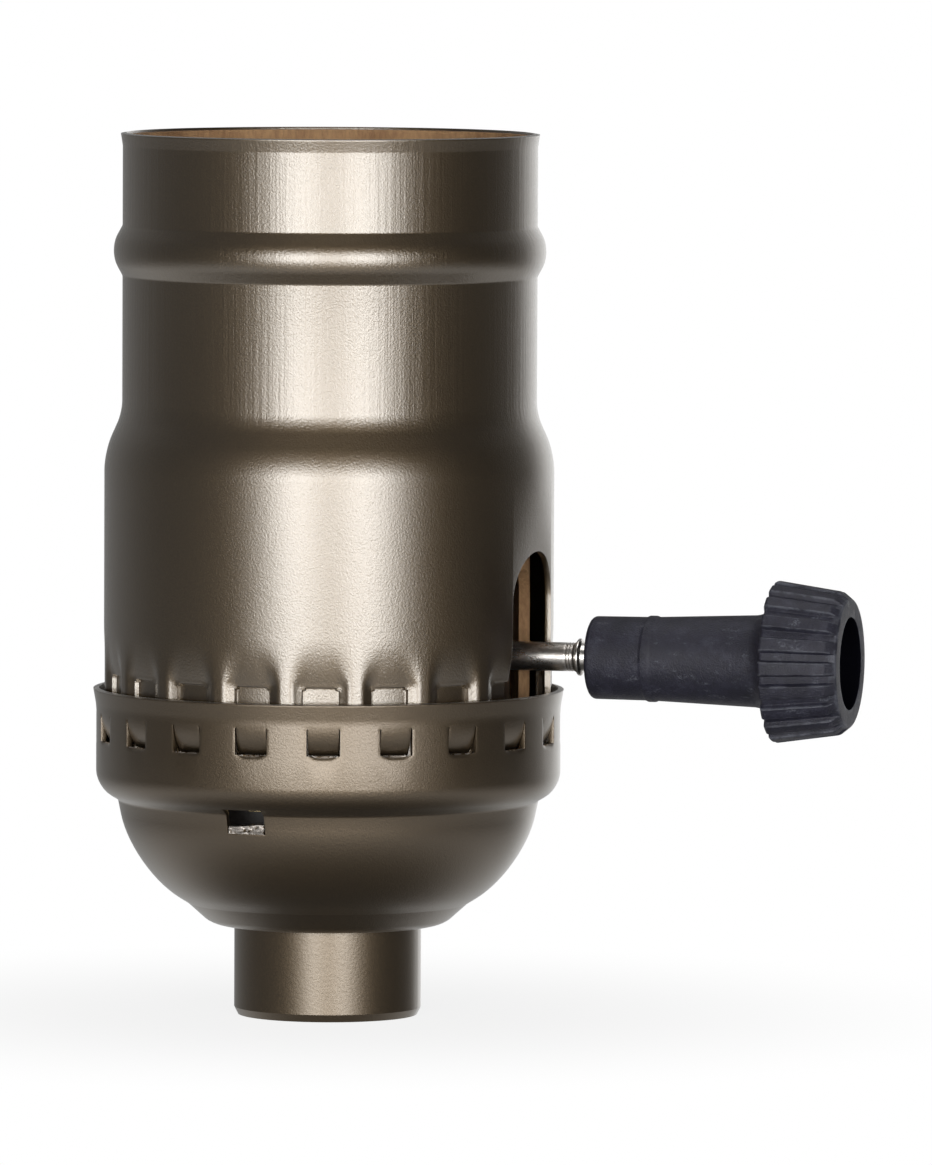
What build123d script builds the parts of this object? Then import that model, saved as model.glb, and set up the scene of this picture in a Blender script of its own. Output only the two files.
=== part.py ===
from build123d import *
import math
import os

# A medium-base lamp holder with a turn-knob switch. All sizes are in millimetres.
# The origin is the centre of the hub's lower face, +Z points to the lamp, and the
# switch stem leaves along +X.

# Heights
neck_length = 7.2
cap_depth = 18.75
stem_above_rim = 2.95
mouth_above_stem = 41.1

# Upper shell, drawn from sheet
shell_sheet = 0.45
barrel_radius = 17.85
shoulder_step = 1.4
lip_rise = 0.1
lip_height = 0.8
bead_below_mouth = 9.3
bead_height = 4.0
bead_rise = 0.72
shoulder_below_mouth = 22.14
shoulder_height = 3.13
shoulder_top_bend = 4.3
shoulder_low_bend = 6.6
shell_tuck = 6.9

# Stem slot in the shell and in its fibre sleeve
slot_turn = -7.4
slot_width = 7.9
slot_arch_above_stem = 4.1
sleeve_slot_width = 8.5
sleeve_arch_above_stem = 2.6

# Snap pockets round the bottom of the shell
snap_count = 20
pocket_width = 3.15
pocket_depth = 0.6
pocket_above_rim = 1.35
pocket_height = 5.9
pocket_corner = 0.6
pocket_turn = -0.8
draw_in_height = 3.5
draw_in_depth = 0.3
draw_in_radius = 3.9

# Cap, drawn from sheet
cap_sheet = 0.45
collar_clearance = 0.15
rim_flare = 0.25
flare_height = 1.35
flare_bend = 2.0
collar_height = 7.8
collar_bend = 2.2
collar_step = 1.73
step_drop = 1.0
step_bend = 0.35
bowl_taper = 1.11
bowl_corner_share = 0.447
bowl_round_share = 0.84
ring_radius = 11.15
ring_height = 1.7
ring_bend = 0.6
foot_radius = 9.25
foot_bend = 2.0

# Windows in the cap's collar, each with a tab pushed in to catch a pocket
window_turn = -3.6
window_width = 2.6
window_height = 2.6
window_below_rim = 1.35
tab_gap = 0.12
tab_push = 0.6
tab_end_gap = 0.2
tab_root = 0.1

# Lanced rest in the cap's bowl
rest_turn = -97.4
rest_width = 3.2
rest_height = 1.9
rest_below_step = 1.55
rest_tab_length = 2.0
rest_tab_tilt = 35.0

# Hub with a pipe thread, staked through the cap
neck_radius = 7.43
neck_chamfer = 0.3
neck_chamfer_height = 0.6
pipe_bore_radius = 4.57
spigot_radius = 6.0
stake_radius = 7.2
stake_height = 0.9
seat_clearance = 0.05

# Fibre sleeves
sleeve_clearance = 0.05
sleeve_wall = 0.85
sleeve_below_mouth = 0.15
sleeve_above_shell_end = 0.45
cup_wall = 0.5
cup_gap = 0.1
cup_below_rest = 1.0
cup_bore_radius = 7.6

# Moulded insulators
body_clearance = 0.7
flat_share = 0.764
upper_body_height = 11.4
body_above_base = 5.8
body_edge = 1.2
skirt_wall = 1.6
skirt_height = 4.0
cavity_back = 9.0
cavity_front = 8.0
cavity_half_height = 6.0
boss_radius = 5.0
boss_height = 0.9
rivet_radius = 1.1
rivet_hole_clearance = 0.05
rivet_head_radius = 1.75
rivet_head_height = 0.7
rivet_x = 3.0
rivet_inside_flat = 3.4
rivet_to_cavity = 1.6

# Screw shell for the lamp: 7 threads to the inch
thread_pitch = 3.629
thread_turns = 5
thread_inside_body = 1.125
thread_zigzag = 0.6
thread_bend = 0.88
screw_sheet = 0.4
screw_shell_height = 25.2
screw_floor_bend = 0.8
first_thread_height = 3.2

# Stem, rotor and knob
stem_radius = 1.15
stem_start = -4.0
stem_flange_off_barrel = 2.25
stem_flange_radius = 1.475
stem_flange_width = 0.45
stem_thread_radius = 0.97
stem_in_knob = 6.55
bearing_clearance = 0.05
rotor_clearance = 0.02
cam_start = -5.0
cam_end = 0.0
cam_reach = 3.4
cam_half_width = 2.2
disc_radius = 3.2
disc_end = 1.5
detent_width = 7.0
detent_edge = 0.6
detent_end = 6.5
journal_radius = 1.5
journal_length = 6.0
knob_off_flange = 1.1
knob_length = 20.9
knob_back_bend = 0.5
sleeve_start_radius = 3.36
sleeve_end_radius = 3.72
sleeve_ring_at = 4.95
sleeve_ring_rise = 0.09
sleeve_ring_half_width = 0.35
head_back_at = 15.1
head_back_radius = 6.42
head_front_radius = 5.62
head_rim_at = 20.4
knob_front_radius = 5.2
head_back_bend = 0.55
head_neck_bend = 0.55
knob_mouth_radius = 3.55
knob_throat_radius = 2.75
knob_throat_at = 15.4
knob_floor_radius = 2.3
knob_floor_at = 9.7
knob_bore_depth = 7.2
rib_count = 20
flute_radius = 0.62
flute_depth = 0.36
flute_end_at = 19.8

# Switch contacts and springs
leaf_thickness = 0.4
leaf_width = 4.0
leaf_front = -0.5
leaf_end_gap = 0.4
leaf_clearance = 0.05
tip_radius = 0.9
tip_height = 0.35
tip_inset = 0.9
contact_gap = 0.6
contact_foot = 1.7
contact_thickness = 0.4
contact_leg_gap = 0.5
contact_roof_back = 2.2
ledge_width = 2.1
leaf_rivet_radius = 0.6
leaf_rivet_head = 1.05
leaf_rivet_length = 2.2
detent_leaf_thickness = 0.3
detent_leaf_width = 3.6
detent_leaf_x = 4.0
detent_end_gap = 0.4
tongue_width = 5.0
tongue_back = 3.5
tongue_front = 4.3
tongue_thickness = 0.4
tongue_rise = 4.9
tongue_tip = -2.2
tongue_bend = 0.8

# Terminals
terminal_sheet = 0.5
terminal_back = 4.7
terminal_front = 3.3
terminal_bottom = 3.4
screw_above_terminal = 3.4
terminal_screw_x = 1.6
terminal_screw_radius = 1.7
terminal_screw_length = 3.6
terminal_head_radius = 3.2
terminal_head_height = 1.9
terminal_slot_width = 0.8
terminal_slot_depth = 0.8
strap_past_rivet = 1.7
fit_gap = 0.1

# Levels worked out from the heights
cap_base_z = neck_length
rim_z = cap_base_z + cap_depth
stem_z = rim_z + stem_above_rim
mouth_z = stem_z + mouth_above_stem
shell_end_z = rim_z - shell_tuck
body_top_z = stem_z + upper_body_height
body_end_z = cap_base_z + body_above_base
skirt_floor_z = body_end_z + skirt_height
cavity_floor_z = stem_z - cavity_half_height
cavity_roof_z = stem_z + cavity_half_height
boss_top_z = body_top_z + boss_height
leaf_top_z = stem_z - cam_reach - leaf_clearance
leaf_low_z = leaf_top_z - leaf_thickness
ledge_top_z = leaf_low_z - terminal_sheet
contact_low_z = leaf_top_z + 2 * tip_height + contact_gap
terminal_end_z = skirt_floor_z + terminal_bottom - screw_above_terminal
terminal_screw_z = skirt_floor_z + terminal_bottom

bowl_top_z = rim_z - collar_height - step_drop
bowl_corner_z = cap_base_z + bowl_corner_share * (bowl_top_z - cap_base_z)
rest_z = bowl_top_z - rest_below_step

# Radii worked out from the barrel and the sheets
barrel_inner = barrel_radius - shell_sheet
mouth_radius = barrel_radius - shoulder_step
collar_radius = barrel_radius + collar_clearance + cap_sheet
collar_inner = collar_radius - cap_sheet
neck_step_radius = collar_radius - collar_step
bowl_radius = neck_step_radius - bowl_taper
sleeve_radius = mouth_radius - shell_sheet - sleeve_clearance
sleeve_inner = sleeve_radius - sleeve_wall
snap_pitch = 360.0 / snap_count

# The insulators and what they hold, from the sleeve inwards
body_radius = sleeve_inner - body_clearance
body_flat = flat_share * body_radius
thread_mean_radius = body_radius - thread_inside_body
rivet_y = body_flat - rivet_inside_flat
cavity_half_width = rivet_y - rivet_to_cavity
leaf_reach = cavity_half_width - leaf_end_gap
contact_leg_y = cavity_half_width - contact_leg_gap
tip_y = contact_leg_y - tip_inset
detent_leaf_reach = cavity_half_width - detent_end_gap
strap_inner_edge = rivet_y - strap_past_rivet

# Places along the stem
stem_flange_x = barrel_radius + stem_flange_off_barrel
knob_back = stem_flange_x + stem_flange_width + knob_off_flange
stem_end = knob_back + stem_in_knob


def spin(face):
    """A solid turned about the Z axis from a face drawn with radius and height."""
    return Rot(90, 0, 0) * revolve(face, Axis.Y)


def sheet_face(line, thickness):
    """The section of a sheet whose outer side follows a line drawn from the top down."""
    edges = offset(line, amount=thickness, side=Side.RIGHT, closed=True).edges()
    return make_face(edges)


def polygon(points):
    """A flat face with straight sides through the points."""
    return make_face(Polyline(*points, close=True))


def cylinder_up(radius, low, high, x=0.0, y=0.0):
    """An upright round bar between two heights."""
    bottom = (Align.CENTER, Align.CENTER, Align.MIN)
    return Pos(x, y, low) * Cylinder(radius, high - low, align=bottom)


def ring_up(outer, inner, low, high):
    """An upright tube between two heights."""
    return cylinder_up(outer, low, high) - cylinder_up(inner, low, high)


def bar_along_x(radius, start, end):
    """A round bar on the stem's axis."""
    bottom = (Align.CENTER, Align.CENTER, Align.MIN)
    return Pos(start, 0, stem_z) * Rot(0, 90, 0) * Cylinder(radius, end - start, align=bottom)


def block(x0, x1, y0, y1, z0, z1):
    """A box between two corners."""
    corner = (Align.MIN, Align.MIN, Align.MIN)
    return Pos(x0, y0, z0) * Box(x1 - x0, y1 - y0, z1 - z0, align=corner)


def arched_slot(width, arch_z, low_z, reach, turn):
    """A cutter for a slot with a round top, reaching outwards from the axis."""
    across = block(0, reach, -width / 2, width / 2, low_z, arch_z)
    bottom = (Align.CENTER, Align.CENTER, Align.MIN)
    arch = Pos(0, 0, arch_z) * Rot(0, 90, 0) * Cylinder(width / 2, reach, align=bottom)
    return Rot(0, 0, turn) * (across + arch)


def around(shape, count, first_turn):
    """Copies of a shape spaced evenly about the Z axis."""
    return [Rot(0, 0, first_turn + k * 360.0 / count) * shape for k in range(count)]


def make_shell_blank():
    """The upper shell before its slot and pockets: mouth, bead, shoulder and barrel."""
    bead_z = mouth_z - bead_below_mouth
    bead_half = bead_height / 2
    bead_corner = 1.5 * bead_rise
    slope = math.atan(bead_corner / bead_half)
    bead_bend = (bead_corner - bead_rise) / (1 / math.cos(slope) - 1)
    shoulder_z = mouth_z - shoulder_below_mouth
    points = [
        (mouth_radius + lip_rise, mouth_z),
        (mouth_radius, mouth_z - lip_height),
        (mouth_radius, bead_z + bead_half),
        (mouth_radius + bead_corner, bead_z),
        (mouth_radius, bead_z - bead_half),
        (mouth_radius, shoulder_z),
        (barrel_radius, shoulder_z - shoulder_height),
        (barrel_radius, shell_end_z),
    ]
    bends = [lip_height, bead_rise, bead_bend, bead_rise]
    bends += [shoulder_top_bend, shoulder_low_bend]
    return spin(sheet_face(FilletPolyline(*points, radius=bends), shell_sheet))


def pocket_block(margin, inner, outer):
    """A pocket's outline, grown by a margin, between two distances from the axis."""
    top_z = rim_z + pocket_above_rim + margin
    low_z = top_z - pocket_height - 2 * margin
    outline = Pos(0, (top_z + low_z) / 2) * RectangleRounded(
        pocket_width + 2 * margin, top_z - low_z, pocket_corner + margin)
    bar = extrude(outline, amount=outer - inner)
    return Pos(inner, 0, 0) * (Plane.YZ * bar)


def draw_in_bar(radius, reach_up):
    """A bar that leans outwards, whose near side makes the draw-in above a pocket."""
    low_z = rim_z + pocket_above_rim - pocket_corner / 2
    lean = math.degrees(math.atan(draw_in_depth / draw_in_height))
    axis_x = barrel_radius - draw_in_depth + draw_in_radius
    length = draw_in_height + reach_up
    bottom = (Align.CENTER, Align.CENTER, Align.MIN)
    return Pos(axis_x, 0, low_z) * Rot(0, lean, 0) * Cylinder(radius, length, align=bottom)


def make_outer_shell():
    """The upper shell, with a pocket for each cap tab, or a notch where the slot meets one."""
    shell = make_shell_blank()
    floor = barrel_radius - pocket_depth
    mid_sheet = barrel_radius - shell_sheet / 2
    tray = pocket_block(shell_sheet, floor - shell_sheet, barrel_inner + shell_sheet / 4)
    hollow = pocket_block(0, floor, barrel_radius + shell_sheet)
    core = cylinder_up(mid_sheet, shell_end_z, stem_z + mouth_above_stem / 2)
    pad = draw_in_bar(draw_in_radius + shell_sheet, 2.0) & core
    groove = draw_in_bar(draw_in_radius, 2.0)
    corner_notch = block(
        floor - 2 * shell_sheet, barrel_radius + 1, -pocket_width / 2, pocket_width / 2, shell_end_z - 1,
        rim_z - window_below_rim / 2)
    slot_half_angle = math.degrees(math.asin(slot_width / 2 / barrel_radius))
    pocket_half_angle = math.degrees(math.asin(pocket_width / 2 / barrel_radius))
    trays = []
    hollows = []
    for k in range(snap_count):
        turn = window_turn + pocket_turn + k * snap_pitch
        off_slot = abs((turn - slot_turn + 180) % 360 - 180)
        if off_slot > slot_half_angle + pocket_half_angle:
            trays += [Rot(0, 0, turn) * tray, Rot(0, 0, turn) * pad]
            hollows += [Rot(0, 0, turn) * hollow, Rot(0, 0, turn) * groove]
        else:
            hollows.append(Rot(0, 0, turn) * corner_notch)
    slot = arched_slot(
        slot_width, stem_z + slot_arch_above_stem, shell_end_z - 1, 2 * barrel_radius, slot_turn)
    return shell + trays - hollows - slot


def inset_corners(points, inset):
    """The corners of a line moved to its right by an inset, each along its mitre."""
    moved = []
    for k, (x, y) in enumerate(points):
        before = points[k - 1] if k > 0 else None
        after = points[k + 1] if k + 1 < len(points) else None
        into = math.atan2(y - before[1], x - before[0]) if before else None
        out = math.atan2(after[1] - y, after[0] - x) if after else into
        into = out if into is None else into
        middle = (into + out) / 2
        reach = inset / math.cos((out - into) / 2)
        moved.append((x + reach * math.sin(middle), y - reach * math.cos(middle)))
    return moved


def cap_corners():
    """The corners of the cap's outside in section, from the rim down to the hub."""
    return [
        (collar_radius + rim_flare, rim_z),
        (collar_radius, rim_z - flare_height),
        (collar_radius, rim_z - collar_height),
        (neck_step_radius, bowl_top_z),
        (bowl_radius, bowl_corner_z),
        (ring_radius, cap_base_z + ring_height),
        (foot_radius, cap_base_z),
        (spigot_radius + seat_clearance, cap_base_z),
    ]


def bowl_bend():
    """The radius of the bowl's round, which takes a share of the shorter side beside it."""
    before, corner, after = cap_corners()[3:6]
    into = math.atan2(corner[1] - before[1], corner[0] - before[0])
    out = math.atan2(after[1] - corner[1], after[0] - corner[0])
    shorter = min(math.dist(before, corner), math.dist(corner, after))
    return bowl_round_share * shorter / math.tan(abs(out - into) / 2)


def make_cap():
    """The cap: a drawn bowl and collar, with a ring of snap tabs and one lanced rest."""
    bends = [flare_bend, collar_bend, step_bend, bowl_bend(), ring_bend, foot_bend]
    cap = spin(sheet_face(FilletPolyline(*cap_corners(), radius=bends), cap_sheet))
    hinge_z = rim_z - window_below_rim
    sill_z = hinge_z - window_height
    half = window_width / 2
    window = block(collar_inner - cap_sheet, collar_radius + cap_sheet, -half, half, sill_z, hinge_z)
    tab_half = half - tab_gap
    root_x = math.sqrt(collar_radius ** 2 - tab_half ** 2)
    end_x = root_x - tab_push
    end_z = sill_z + tab_end_gap
    root_z = hinge_z + tab_root
    side = polygon([
        (root_x, root_z),
        (root_x - cap_sheet, root_z),
        (root_x - cap_sheet, hinge_z),
        (end_x - cap_sheet, end_z),
        (end_x, end_z),
        (root_x, hinge_z),
    ])
    tab = Pos(0, tab_half, 0) * Rot(90, 0, 0) * extrude(side, amount=2 * tab_half)
    cap -= around(window, snap_count, window_turn)
    cap += around(tab, snap_count, window_turn)
    hole = block(
        bowl_radius - 2, collar_radius, -rest_width / 2, rest_width / 2, rest_z, rest_z + rest_height)
    cap -= Rot(0, 0, rest_turn) * hole
    wall_slope = bowl_taper / (bowl_top_z - bowl_corner_z)
    lip_x = neck_step_radius - wall_slope * rest_below_step - cap_sheet / 2
    rest_half = rest_width / 2 - tab_gap
    lip = block(-rest_tab_length, 0, -rest_half, rest_half, -cap_sheet, 0)
    lip = Pos(lip_x, 0, rest_z) * Rot(0, rest_tab_tilt, 0) * lip
    return cap + Rot(0, 0, rest_turn) * lip


def make_threaded_hub():
    """The turned hub: neck, spigot through the cap and the staked flange that holds it."""
    spigot_z = cap_base_z + cap_sheet
    points = [
        (pipe_bore_radius, 0),
        (neck_radius - neck_chamfer, 0),
        (neck_radius, neck_chamfer_height),
        (neck_radius, cap_base_z),
        (spigot_radius, cap_base_z),
        (spigot_radius, spigot_z),
        (stake_radius, spigot_z),
        (stake_radius - stake_height / 3, spigot_z + stake_height),
        (pipe_bore_radius, spigot_z + stake_height),
    ]
    return spin(polygon(points))


def make_shell_liner():
    """The fibre sleeve in the shell, with its own slot for the stem."""
    low_z = shell_end_z + sleeve_above_shell_end
    sleeve = ring_up(sleeve_radius, sleeve_inner, low_z, mouth_z - sleeve_below_mouth)
    arch_z = stem_z + sleeve_arch_above_stem
    return sleeve - arched_slot(sleeve_slot_width, arch_z, low_z - 1, 2 * sleeve_radius, 0)


def make_cap_liner():
    """The fibre cup that lines the bowl below the lanced rest."""
    inset = cap_sheet + cup_gap
    bowl = cap_corners()[3:-1] + [(cup_bore_radius, cap_base_z)]
    bends = [bowl_bend() - inset, ring_bend + inset, foot_bend - inset]
    line = FilletPolyline(*inset_corners(bowl, inset), radius=bends)
    cup = spin(sheet_face(line, cup_wall))
    keep = ring_up(collar_radius, cup_bore_radius, cap_base_z, rest_z - cup_below_rest)
    return cup & keep


def body_blank(low_z, high_z):
    """A moulded disc with a flat on each side for the terminals."""
    disc = cylinder_up(body_radius, low_z, high_z)
    return disc & block(-body_radius, body_radius, -body_flat, body_flat, low_z, high_z)


def make_lower_body():
    """The lower insulator: skirt, switch cavity, half bearings and terminal holes."""
    body = body_blank(body_end_z, stem_z)
    body = chamfer(body.faces().sort_by(Axis.Z)[0].edges(), body_edge)
    skirt_radius = body_radius - skirt_wall
    skirt_flat = body_flat - skirt_wall
    hollow = cylinder_up(skirt_radius, body_end_z - 1, skirt_floor_z)
    hollow = hollow & block(
        -skirt_radius, skirt_radius, -skirt_flat, skirt_flat, body_end_z - 1, skirt_floor_z)
    cavity = block(
        -cavity_back, cavity_front, -cavity_half_width, cavity_half_width, cavity_floor_z, stem_z + 1)
    leaf_back = leaf_front - leaf_width
    ledge = block(
        leaf_back - fit_gap, leaf_front + fit_gap, -cavity_half_width, ledge_width - cavity_half_width,
        cavity_floor_z, ledge_top_z)
    tongue_way = block(
        leaf_back - fit_gap, leaf_front + fit_gap, -body_flat - 1, -cavity_half_width, ledge_top_z,
        leaf_low_z)
    body = body - hollow - cavity + ledge - tongue_way
    body -= bearings()
    body -= rivet_holes(body_end_z, stem_z)
    leaf_rivet_x = leaf_front - leaf_width / 2
    leaf_rivet_y = ledge_width / 2 - cavity_half_width
    body -= cylinder_up(
        leaf_rivet_radius + rivet_hole_clearance, leaf_low_z - leaf_rivet_length - fit_gap, ledge_top_z,
        leaf_rivet_x, leaf_rivet_y)
    for side in (1, -1):
        shank = terminal_screw_radius + rivet_hole_clearance
        inner_y = body_flat - terminal_screw_length
        hole = Pos(side * terminal_screw_x, 0, terminal_screw_z) * Rot(-90 * side, 0, 0) * cylinder_up(
            shank, inner_y, body_flat + 1)
        body -= hole
    return body


def bearings():
    """The stem's bore in front of the cavity and the journal's bore behind it."""
    front = bar_along_x(stem_radius + bearing_clearance, cavity_front - 1, body_radius + 1)
    journal_end = cam_start - journal_length - fit_gap
    back = bar_along_x(journal_radius + bearing_clearance, journal_end, -cavity_back + 1)
    return [front, back]


def rivet_holes(low_z, high_z):
    """The two clamp rivets' holes between two heights."""
    radius = rivet_radius + rivet_hole_clearance
    return [cylinder_up(radius, low_z, high_z, -side * rivet_x, side * rivet_y) for side in (1, -1)]


def make_upper_body():
    """The upper insulator, with the cavity's roof and a boss under the centre contact."""
    body = body_blank(stem_z, body_top_z)
    cavity = block(
        -cavity_back, cavity_front, -cavity_half_width, cavity_half_width, stem_z - 1, cavity_roof_z)
    body = body - cavity
    body += cylinder_up(boss_radius, body_top_z - 1, boss_top_z)
    body -= bearings()
    body -= rivet_holes(stem_z, body_top_z)
    body -= cylinder_up(rivet_radius + rivet_hole_clearance, cavity_roof_z, boss_top_z)
    strap_seat = block(
        -terminal_back - fit_gap, terminal_front + fit_gap, strap_inner_edge - fit_gap, body_flat + 1,
        body_top_z - terminal_sheet, body_top_z + 1)
    return body - strap_seat


def make_screw_shell():
    """The rolled screw shell, with a flat floor that sits on the upper insulator."""
    wave_z = body_top_z + first_thread_height
    points = [(thread_mean_radius, body_top_z + screw_shell_height)]
    for k in range(2 * thread_turns, -1, -1):
        swing = thread_zigzag if k % 2 else -thread_zigzag
        points.append((thread_mean_radius + swing, wave_z + k * thread_pitch / 2))
    points.append((thread_mean_radius, body_top_z))
    points.append((boss_radius + seat_clearance, body_top_z))
    bends = [thread_bend] * (2 * thread_turns + 1) + [screw_floor_bend]
    shell = spin(sheet_face(FilletPolyline(*points, radius=bends), screw_sheet))
    return shell - rivet_holes(body_top_z - 1, body_top_z + 1)


def make_centre_contact():
    """The brass tongue under the lamp's tip, folded back over its rivet."""
    base_z = boss_top_z
    points = [
        (-tongue_back, base_z),
        (tongue_front, base_z),
        (tongue_front + tongue_bend, base_z + 2 * tongue_bend),
        (tongue_tip, base_z + tongue_rise),
    ]
    line = FilletPolyline(*points, radius=[tongue_bend, tongue_bend])
    edges = offset(line, amount=tongue_thickness, side=Side.LEFT, closed=True).edges()
    strip = extrude(make_face(edges), amount=tongue_width)
    strip = Pos(0, tongue_width / 2, 0) * Rot(90, 0, 0) * strip
    return strip - cylinder_up(rivet_radius + rivet_hole_clearance, base_z - 1, base_z + 1)


def make_centre_rivet():
    """The rivet that joins the centre contact above to the fixed contact below."""
    low_z = cavity_roof_z - contact_thickness
    high_z = boss_top_z + tongue_thickness
    shank = cylinder_up(rivet_radius, low_z, high_z)
    top = cylinder_up(rivet_head_radius, high_z, high_z + rivet_head_height / 2)
    bottom = cylinder_up(rivet_head_radius, low_z - rivet_head_height / 2, low_z)
    return shank + top + bottom


def make_fixed_contact():
    """The fixed contact: along the roof, down one wall and in over the moving leaf."""
    back = leaf_front - leaf_width
    leg_inner = contact_leg_y - contact_thickness
    roof = block(
        back, contact_roof_back, -contact_roof_back, contact_leg_y, cavity_roof_z - contact_thickness,
        cavity_roof_z)
    leg = block(back, leaf_front, leg_inner, contact_leg_y, contact_low_z, cavity_roof_z)
    foot = block(
        back, leaf_front, contact_leg_y - contact_foot, contact_leg_y, contact_low_z,
        contact_low_z + contact_thickness)
    hole = cylinder_up(rivet_radius + rivet_hole_clearance, cavity_roof_z - 1, cavity_roof_z + 1)
    return roof + leg + foot - hole


def make_contact_tips():
    """Two silver buttons, one on the moving leaf and one under the fixed contact."""
    x = leaf_front - leaf_width / 2
    low = cylinder_up(tip_radius, leaf_top_z, leaf_top_z + tip_height, x, tip_y)
    high = cylinder_up(tip_radius, contact_low_z - tip_height, contact_low_z, x, tip_y)
    return Compound([low.solid(), high.solid()])


def make_contact_blade():
    """The moving leaf, held down by the cam's lobe while the switch is off."""
    back = leaf_front - leaf_width
    leaf = block(back, leaf_front, -cavity_half_width + fit_gap, leaf_reach, leaf_low_z, leaf_top_z)
    rivet_y_place = ledge_width / 2 - cavity_half_width
    radius = leaf_rivet_radius + rivet_hole_clearance
    return leaf - cylinder_up(
        radius, leaf_low_z - 1, leaf_top_z + 1, leaf_front - leaf_width / 2, rivet_y_place)


def make_blade_rivet():
    """The small rivet through the leaf, the line plate's tongue and the ledge."""
    x = leaf_front - leaf_width / 2
    y = ledge_width / 2 - cavity_half_width
    shank = cylinder_up(leaf_rivet_radius, leaf_low_z - leaf_rivet_length, leaf_top_z, x, y)
    return shank + cylinder_up(leaf_rivet_head, leaf_top_z, leaf_top_z + leaf_thickness, x, y)


def make_detent_spring():
    """A bridge of spring strip that bears on the rotor's square and holds each quarter."""
    top_z = stem_z - detent_width / 2 - leaf_clearance
    half = detent_leaf_width / 2
    outer = block(
        detent_leaf_x - half, detent_leaf_x + half, -detent_leaf_reach, detent_leaf_reach,
        cavity_floor_z, top_z)
    inner = block(
        detent_leaf_x - half - 1, detent_leaf_x + half + 1, detent_leaf_thickness - detent_leaf_reach,
        detent_leaf_reach - detent_leaf_thickness, cavity_floor_z - 1, top_z - detent_leaf_thickness)
    return outer - inner


def make_neutral_strap():
    """The strap from under the screw shell's floor down to the neutral terminal."""
    leg = block(
        -terminal_back, terminal_front, body_flat, body_flat + terminal_sheet, terminal_end_z, body_top_z)
    top = block(
        -terminal_back, terminal_front, strap_inner_edge, body_flat + terminal_sheet,
        body_top_z - terminal_sheet, body_top_z)
    strap = leg + top - rivet_holes(body_top_z - 1, body_top_z + 1)
    return strap - terminal_hole(1)


def terminal_hole(side):
    """The terminal screw's hole through its plate."""
    shank = cylinder_up(
        terminal_screw_radius + rivet_hole_clearance, body_flat - 1, body_flat + terminal_sheet + 1)
    return Pos(side * terminal_screw_x, 0, terminal_screw_z) * Rot(-90 * side, 0, 0) * shank


def make_line_plate():
    """The line terminal's plate, with a tongue that runs in under the moving leaf."""
    plate = block(
        -terminal_front, terminal_back, -body_flat - terminal_sheet, -body_flat, terminal_end_z, leaf_low_z)
    wide = block(
        leaf_front - leaf_width, leaf_front, -body_flat - terminal_sheet, -body_flat, terminal_screw_z,
        leaf_low_z)
    tongue = block(
        leaf_front - leaf_width, leaf_front, -body_flat - terminal_sheet, ledge_width - cavity_half_width,
        ledge_top_z, leaf_low_z)
    plate = plate + wide + tongue - terminal_hole(-1)
    radius = leaf_rivet_radius + rivet_hole_clearance
    return plate - cylinder_up(
        radius, ledge_top_z - 1, leaf_low_z + 1, leaf_front - leaf_width / 2,
        ledge_width / 2 - cavity_half_width)


def make_terminal_screw(side):
    """A binding-head screw with a plain slot, driven in square to the terminal plate."""
    inner_y = body_flat - terminal_screw_length + fit_gap
    head_y = body_flat + terminal_sheet
    screw = cylinder_up(terminal_screw_radius, inner_y, head_y)
    screw += cylinder_up(terminal_head_radius, head_y, head_y + terminal_head_height)
    half_slot = terminal_slot_width / 2
    screw -= block(
        -terminal_head_radius, terminal_head_radius, -half_slot, half_slot,
        head_y + terminal_head_height - terminal_slot_depth, head_y + terminal_head_height + 1)
    return Pos(side * terminal_screw_x, 0, terminal_screw_z) * Rot(-90 * side, 0, 0) * screw


def make_body_rivets():
    """The two rivets that clamp both insulators, the strap and the screw shell's floor."""
    floor_top_z = body_top_z + screw_sheet
    rivets = []
    for side in (1, -1):
        x = -side * rivet_x
        y = side * rivet_y
        rivet = cylinder_up(rivet_radius, skirt_floor_z, floor_top_z, x, y)
        rivet += cylinder_up(rivet_head_radius, floor_top_z, floor_top_z + rivet_head_height, x, y)
        rivet += cylinder_up(rivet_head_radius, skirt_floor_z - rivet_head_height, skirt_floor_z, x, y)
        rivets.append(rivet.solid())
    return Compound(rivets)


def make_stem():
    """The plated spindle: shank, rolled flange and the thread for the knob."""
    flange_end = stem_flange_x + stem_flange_width
    swell = stem_flange_radius - stem_radius
    points = [
        (0, stem_start),
        (stem_radius, stem_start),
        (stem_radius, stem_flange_x - 2 * swell),
        (stem_flange_radius, stem_flange_x),
        (stem_flange_radius, flange_end),
        (stem_thread_radius, flange_end),
        (stem_thread_radius, stem_end),
        (0, stem_end),
    ]
    return Pos(0, 0, stem_z) * Rot(0, 90, 0) * spin(polygon(points))


def make_rotor():
    """The moulded rotor: journal, two-lobed cam, disc and square detent block."""
    cam = bar_along_x(cam_reach, cam_start, cam_end) & block(
        cam_start, cam_end, -cam_half_width, cam_half_width, stem_z - cam_reach, stem_z + cam_reach)
    half = detent_width / 2
    square = block(disc_end, detent_end, -half, half, stem_z - half, stem_z + half)
    square = fillet(square.edges().filter_by(Axis.X), detent_edge)
    journal = bar_along_x(journal_radius, cam_start - journal_length, cam_start)
    rotor = cam + bar_along_x(disc_radius, cam_end, disc_end) + square + journal
    return rotor - bar_along_x(stem_radius + rotor_clearance, stem_start, detent_end + 1)


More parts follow.
